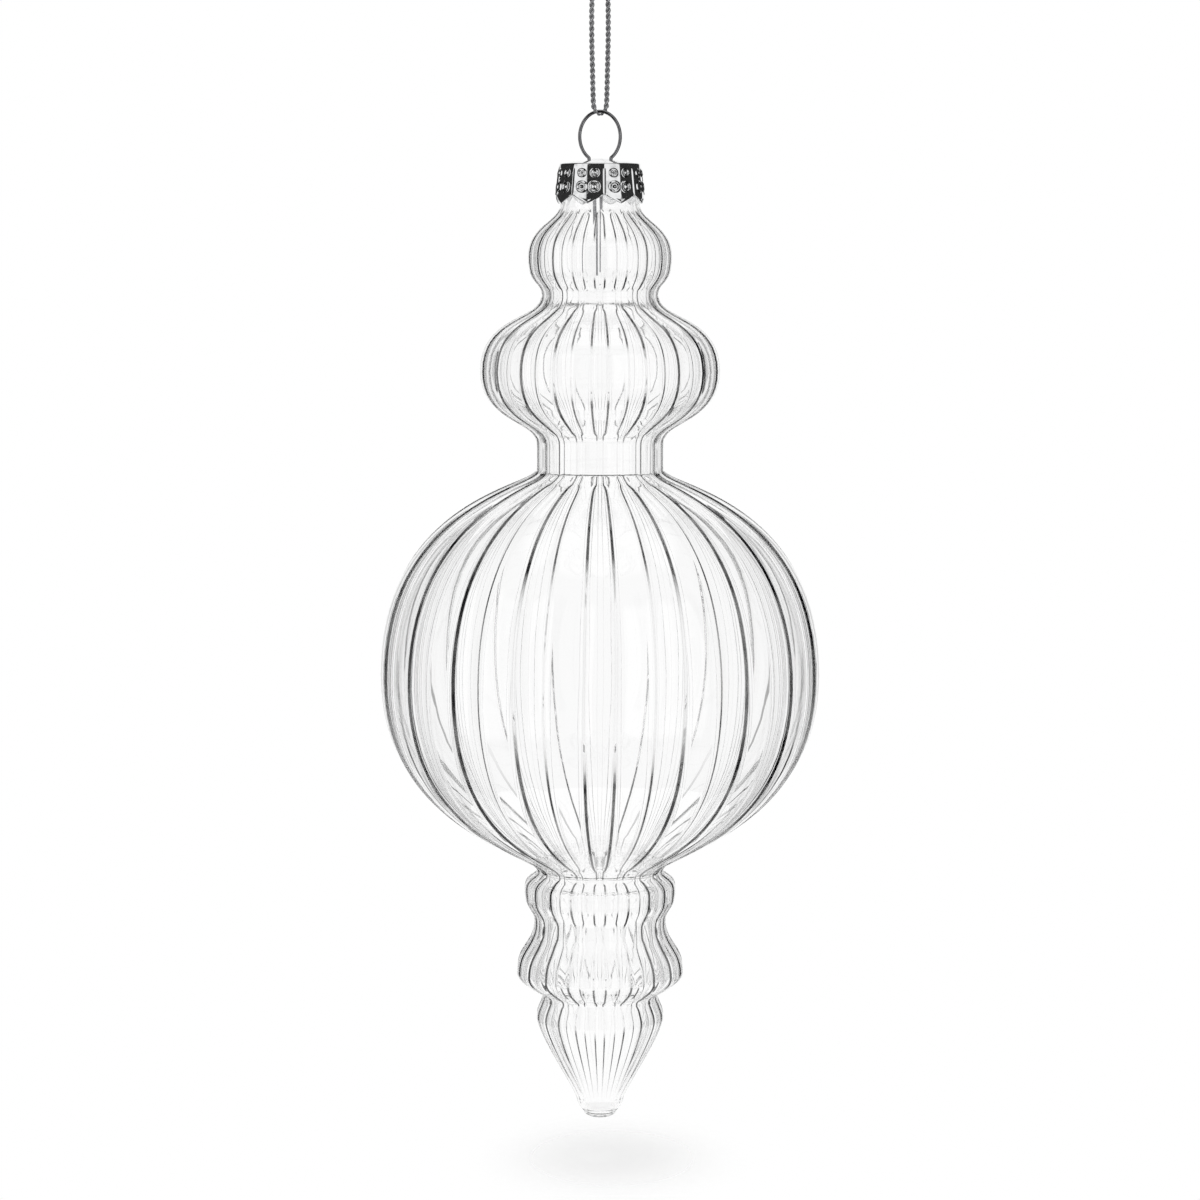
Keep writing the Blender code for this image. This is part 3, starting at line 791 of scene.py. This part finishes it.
def twisted_cord():
    """The tree that lays two plies round each path and notes the place along and round each ply."""
    tree, given, output = new_tree(
        "twisted_cord",
        (
            ("Ply Radius", "Float"),
            ("Lay Radius", "Float"),
            ("Pitch", "Float"),
            ("Pinched", "Float"),
            ("Sides", "Int"),
            ("Material", "Material"),
        ),
    )
    path = join(tree, "GeometryNodeMeshToCurve", {0: given["Geometry"]}).outputs[0]
    inputs = {"Curve": path, "Length": PLY_STEP}
    path = join(tree, "GeometryNodeResampleCurve", inputs, mode="LENGTH").outputs[0]
    along = join(tree, "GeometryNodeSplineParameter").outputs["Length"]
    inputs = {"Geometry": path, "Name": "along", "Value": along}
    path = join(tree, "GeometryNodeStoreNamedAttribute", inputs, data_type="FLOAT", domain="POINT").outputs[0]
    heading = join(tree, "GeometryNodeInputTangent").outputs[0]
    normal = join(tree, "GeometryNodeInputNormal").outputs[0]
    other = join(tree, "ShaderNodeVectorMath", {0: heading, 1: normal}, operation="CROSS_PRODUCT").outputs[0]
    turn = maths(tree, "DIVIDE", maths(tree, "MULTIPLY", along, math.tau), given["Pitch"])
    inputs = {"Resolution": given["Sides"], "Radius": given["Ply Radius"]}
    ring = join(tree, "GeometryNodeCurvePrimitiveCircle", inputs)
    round_it = join(tree, "GeometryNodeSplineParameter").outputs["Factor"]
    inputs = {"Geometry": ring.outputs[0], "Name": "around", "Value": round_it}
    ring = join(tree, "GeometryNodeStoreNamedAttribute", inputs, data_type="FLOAT", domain="POINT").outputs[0]
    middle = maths(tree, "DIVIDE", join(tree, "GeometryNodeSplineLength").outputs["Length"], 2.0)
    off = maths(tree, "ABSOLUTE", maths(tree, "SUBTRACT", along, middle))
    eased = maths(tree, "MULTIPLY", given["Pinched"], PINCH_EASE)
    slack = spread(tree, off, given["Pinched"], eased, PINCH_SHARE, 1.0)
    lay = maths(tree, "MULTIPLY", slack, given["Lay Radius"])
    plies = join(tree, "GeometryNodeJoinGeometry")
    for start in (0.0, math.pi):
        angle = maths(tree, "ADD", turn, start)
        aside = []
        for axis, trig in ((normal, "COSINE"), (other, "SINE")):
            reach = maths(tree, "MULTIPLY", maths(tree, trig, angle), lay)
            inputs = {0: axis, "Scale": reach}
            aside.append(join(tree, "ShaderNodeVectorMath", inputs, operation="SCALE").outputs[0])
        aside = join(tree, "ShaderNodeVectorMath", {0: aside[0], 1: aside[1]}, operation="ADD").outputs[0]
        ply = join(tree, "GeometryNodeSetPosition", {"Geometry": path, "Offset": aside}).outputs[0]
        inputs = {"Curve": ply, "Profile Curve": ring, "Scale": slack, "Fill Caps": True}
        ply = join(tree, "GeometryNodeCurveToMesh", inputs)
        tree.links.new(ply.outputs[0], plies.inputs[0])
    close_tree(tree, plies.outputs[0], given["Material"], output)
    return tree


def silver_thread():
    """Metallic thread wound slantwise round each ply, with painted shade dark in the hollows between its
    windings.
    """
    made = bpy.data.materials.new("silver_thread")
    made.use_nodes = True
    tree = made.node_tree
    shader = tree.nodes["Principled BSDF"]
    along = join(tree, "ShaderNodeAttribute", attribute_name="along").outputs["Fac"]
    around = join(tree, "ShaderNodeAttribute", attribute_name="around").outputs["Fac"]
    winding = maths(tree, "ADD", maths(tree, "MULTIPLY", along, 4600.0), maths(tree, "MULTIPLY", around, 2.0))
    across = maths(tree, "ABSOLUTE", maths(tree, "SUBTRACT", maths(tree, "FRACT", winding), 0.5))
    number = maths(tree, "FLOOR", winding)
    each = join(tree, "ShaderNodeTexWhiteNoise", {"W": number}, noise_dimensions="1D").outputs["Value"]
    # Painted shade: the crest mask darkens the colour and lowers the metal in the hollows between the
    # windings, full along their crests; each winding's tone also differs at random.
    crest = spread(tree, across, 0.12, 0.5, 1.0, 0.0)
    shade = maths(tree, "MULTIPLY", crest, spread(tree, each, 0.0, 1.0, 0.55, 1.0, smooth=False))
    tint = join(tree, "ShaderNodeMix", {0: shade}, data_type="RGBA")
    tint.inputs[6].default_value = (0.10, 0.10, 0.105, 1.0)
    tint.inputs[7].default_value = (0.78, 0.785, 0.80, 1.0)
    tree.links.new(tint.outputs[2], shader.inputs["Base Color"])
    tree.links.new(spread(tree, shade, 0.0, 1.0, 0.5, 0.85), shader.inputs["Metallic"])
    tree.links.new(spread(tree, each, 0.0, 1.0, 0.22, 0.42), shader.inputs["Roughness"])
    bump = join(tree, "ShaderNodeBump", {"Height": crest, "Strength": 0.6, "Distance": 0.00004})
    tree.links.new(bump.outputs["Normal"], shader.inputs["Normal"])
    return made


other_strand = [(-x, -y, z) for x, y, z in reversed(CORD_ROUTE[:-1])]
cord_path = smooth_route([*CORD_ROUTE, *other_strand], CORD_STEP)
cord_tree = twisted_cord()
cord_values = {
    "Ply Radius": CORD_PLY_RADIUS,
    "Lay Radius": CORD_LAY_RADIUS,
    "Pitch": CORD_PITCH,
    "Pinched": CORD_PINCHED,
    "Sides": 10,
    "Material": silver_thread(),
}
cord = grown("cord_loop_twisted", wire_mesh("cord_route", cord_path), cord_tree, cord_values)
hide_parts("cord_loop")
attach(cord, "cord")


# Knot
# The cord's two ends, tied: three turns of cord drawn tight round both strands, and two short tails.

KNOT_TURNS = 3.25
KNOT_ACROSS = 0.00119
KNOT_THROUGH = 0.00089
KNOT_FOOT = 0.00078
KNOT_HEAD = 0.00302
KNOT_ENTRY = (0.00050, 0.00018, 0.0003)
# How far the ends of the turns tuck in, and the share of the turns that this takes
KNOT_TUCK = 0.45
KNOT_TUCK_RUN = 0.07
TAIL_ROOT = 0.00067
TAIL_ROOT_Z = 0.0027
TAIL_LENGTH = 0.0053
TAIL_LEAN = math.radians(20)
TAIL_SPLAY = 0.2
TAIL_STEP = 0.0004
# Below zero, the pinch draws in the plies all along the knot's strands
KNOT_PINCH = -0.001


def knot_strands():
    """The paths of the two ends through the knot, and of the turns round them."""
    paths = []
    for side in (-1, 1):
        low = Vector((side * KNOT_ENTRY[0], side * KNOT_ENTRY[1], KNOT_ENTRY[2]))
        root = Vector((side * TAIL_ROOT, 0, TAIL_ROOT_Z))
        lean = Vector((side * math.sin(TAIL_LEAN), side * TAIL_SPLAY, math.cos(TAIL_LEAN))).normalized()
        paths.append(smooth_route([low, low.lerp(root, 0.5), root, root + lean * TAIL_LENGTH], TAIL_STEP))
    turns = []
    steps = 110
    for i in range(steps + 1):
        t = i / steps
        angle = math.tau * KNOT_TURNS * t
        tuck = 1 - KNOT_TUCK * hump(min(t, 1 - t), KNOT_TUCK_RUN)
        spot = (KNOT_ACROSS * tuck * math.cos(angle), KNOT_THROUGH * tuck * math.sin(angle))
        turns.append(Vector((*spot, KNOT_FOOT + (KNOT_HEAD - KNOT_FOOT) * t)))
    return [*paths, turns]


knot_seed = bpy.data.meshes.new("knot_routes")
spots = []
links = []
for path in knot_strands():
    links += [(len(spots) + i, len(spots) + i + 1) for i in range(len(path) - 1)]
    spots += [tuple(point) for point in path]
knot_seed.from_pydata(spots, links, [])
knot = grown("cord_knot_tied", knot_seed, cord_tree, {**cord_values, "Pinched": KNOT_PINCH})
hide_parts("cord_knot")
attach(knot, "cord")


# Stage
# A pale floor under the hanging ornament, which the eye sees through outside its shadow, a white
# surround with grey flags, and a soft lamp overhead.

FLOOR_Z = -0.2241
FLOOR_RADIUS = 0.075
SHADE_CENTRE = (0.0022, 0.0)
SHADE_REACH = (0.027, 0.034)
SHADE_SHARE = 0.62
BOARD_WHITE = 0.94
# Grey flags, two to each quarter turn: their grey, the degrees from the quarter's mark over which one
# begins and ends, the heights over which it widens and by how much, and the slopes where it stops
FLAG_GREY = 0.6
FLAG_BEGIN = (23.0, 26.0)
FLAG_END = (32.5, 35.0)
FLAG_FOOT = (-0.22, -0.18)
FLAG_WIDER = 4.0
FLAG_STOP = (0.45, 0.6)
# Lit boxes that the metal reflects: turn of the middle and half width in degrees, their soft edge, the
# level between them, their middle and half height, and the slopes over which one overhead begins
LIT_BOXES = ((145.0, 22.5), (-122.5, 20.5), (0.0, 30.0))
BOX_EDGE = (-1.0, 1.5)
BOX_DARK = 0.03
BOX_MIDDLE = 0.1
BOX_HALF_HEIGHT = (0.5, 0.6)
BOX_OVERHEAD = (0.86, 0.92)
LAMP_SIZE = 0.5
LAMP_POWER = 1.2
LAMP_PLACE = (0.02, -0.05, 0.5)


def studio_world():
    """White to the eye; the glass sees white with grey flags, and bare metal dark with lit boxes."""
    world = bpy.data.worlds.new("studio")
    world.use_nodes = True
    tree = world.node_tree
    tree.nodes.clear()
    way = join(tree, "ShaderNodeTexCoord").outputs["Generated"]
    axis = join(tree, "ShaderNodeSeparateXYZ", {0: way}).outputs
    turn = maths(tree, "MULTIPLY", maths(tree, "ARCTAN2", axis["X"], axis["Y"]), math.degrees(1))
    fold = maths(tree, "FRACT", maths(tree, "ADD", maths(tree, "DIVIDE", turn, 90.0), 0.5))
    fold = maths(tree, "MULTIPLY", maths(tree, "ABSOLUTE", maths(tree, "SUBTRACT", fold, 0.5)), 90.0)
    low = spread(tree, axis["Z"], *FLAG_FOOT, 0.0, 1.0)
    near = spread(tree, fold, *FLAG_BEGIN, 1.0, FLAG_GREY)
    far = maths(tree, "SUBTRACT", fold, maths(tree, "MULTIPLY", low, FLAG_WIDER))
    far = spread(tree, far, *FLAG_END, FLAG_GREY, 1.0)
    flags = maths(tree, "MAXIMUM", near, far)
    steep = spread(tree, maths(tree, "ABSOLUTE", axis["Z"]), *FLAG_STOP, 0.0, 1.0)
    flags = maths(tree, "MAXIMUM", flags, steep)
    boxes = None
    for middle, half in LIT_BOXES:
        box = maths(tree, "ABSOLUTE", maths(tree, "SUBTRACT", turn, middle))
        box = spread(tree, box, half + BOX_EDGE[0], half + BOX_EDGE[1], 1.0, BOX_DARK)
        boxes = box if boxes is None else maths(tree, "MAXIMUM", boxes, box)
    tall = maths(tree, "ABSOLUTE", maths(tree, "SUBTRACT", axis["Z"], BOX_MIDDLE))
    boxes = maths(tree, "MULTIPLY", boxes, spread(tree, tall, *BOX_HALF_HEIGHT, 1.0, BOX_DARK))
    boxes = maths(tree, "MAXIMUM", boxes, spread(tree, axis["Z"], *BOX_OVERHEAD, 0.0, 1.0))
    path = join(tree, "ShaderNodeLightPath").outputs
    outside = maths(tree, "LESS_THAN", path["Transmission Depth"], 0.5)
    outside = maths(tree, "MULTIPLY", path["Is Glossy Ray"], outside)
    seen = join(tree, "ShaderNodeMix", {0: outside, 2: flags, 3: boxes}).outputs[0]
    seen = join(tree, "ShaderNodeCombineColor", {0: seen, 1: seen, 2: seen}).outputs[0]
    glossy = maths(tree, "MAXIMUM", path["Is Glossy Ray"], path["Is Transmission Ray"])
    white = join(tree, "ShaderNodeBackground", {"Color": (1, 1, 1, 1), "Strength": 1.0}).outputs[0]
    flagged = join(tree, "ShaderNodeBackground", {"Color": seen, "Strength": 1.0}).outputs[0]
    shade = join(tree, "ShaderNodeMixShader", {0: glossy, 1: white, 2: flagged}).outputs[0]
    tree.links.new(shade, tree.nodes.new("ShaderNodeOutputWorld").inputs["Surface"])
    return world


def pale_floor():
    """White board in the soft shadow under the ornament; round it the eye sees through to the surround."""
    made = bpy.data.materials.new("pale_floor")
    made.use_nodes = True
    tree = made.node_tree
    tree.nodes.clear()
    place = join(tree, "ShaderNodeTexCoord").outputs["Object"]
    axis = join(tree, "ShaderNodeSeparateXYZ", {0: place}).outputs
    off_x = maths(tree, "DIVIDE", maths(tree, "SUBTRACT", axis["X"], SHADE_CENTRE[0]), SHADE_REACH[0])
    off_y = maths(tree, "DIVIDE", maths(tree, "SUBTRACT", axis["Y"], SHADE_CENTRE[1]), SHADE_REACH[1])
    far = maths(tree, "ADD", maths(tree, "POWER", off_x, 2.0), maths(tree, "POWER", off_y, 2.0))
    share = spread(tree, maths(tree, "SQRT", far), 0.0, 1.0, SHADE_SHARE, 0.0)
    glow = join(tree, "ShaderNodeEmission", {"Color": (1, 1, 1, 1), "Strength": 1.0}).outputs[0]
    clear = join(tree, "ShaderNodeBsdfTransparent").outputs[0]
    seen = join(tree, "ShaderNodeLightPath").outputs["Is Camera Ray"]
    glow = join(tree, "ShaderNodeMixShader", {0: seen, 1: glow, 2: clear}).outputs[0]
    board = join(tree, "ShaderNodeBsdfDiffuse", {"Color": (*[BOARD_WHITE] * 3, 1)}).outputs[0]
    both = join(tree, "ShaderNodeMixShader", {0: share, 1: glow, 2: board}).outputs[0]
    tree.links.new(both, tree.nodes.new("ShaderNodeOutputMaterial").inputs["Surface"])
    return made


disc = bmesh.new()
level = Matrix.Translation((0, 0, FLOOR_Z))
bmesh.ops.create_circle(disc, cap_ends=True, segments=96, radius=FLOOR_RADIUS, matrix=level)
floor_mesh = bpy.data.meshes.new("floor")
disc.to_mesh(floor_mesh)
disc.free()
floor_mesh.materials.append(pale_floor())
floor = bpy.data.objects.new("floor", floor_mesh)
bpy.context.scene.collection.objects.link(floor)

lamp = bpy.data.lights.new("overhead", "AREA")
lamp.shape = "DISK"
lamp.size = LAMP_SIZE
lamp.energy = LAMP_POWER
overhead = bpy.data.objects.new("overhead", lamp)
overhead.location = LAMP_PLACE
overhead.visible_glossy = False
overhead.visible_transmission = False
bpy.context.scene.collection.objects.link(overhead)

bpy.context.scene.world = studio_world()
bpy.context.scene.view_settings.view_transform = "Standard"
bpy.context.scene.cycles.max_bounces = 32
bpy.context.scene.cycles.transmission_bounces = 32
bpy.context.scene.cycles.glossy_bounces = 16


# Camera
# A long lens level with the cap, looking slightly down.

LENS = 105.9
EYE_PLACE = (0, -0.632, -0.05035)
EYE_DIP = 6.4

view = bpy.data.cameras.new("camera")
view.sensor_width = 36
view.lens = LENS
view.clip_end = 20
eye = bpy.data.objects.new("camera", view)
eye.location = EYE_PLACE
eye.rotation_euler = (math.radians(90 - EYE_DIP), 0, 0)
bpy.context.scene.collection.objects.link(eye)
bpy.context.scene.camera = eye
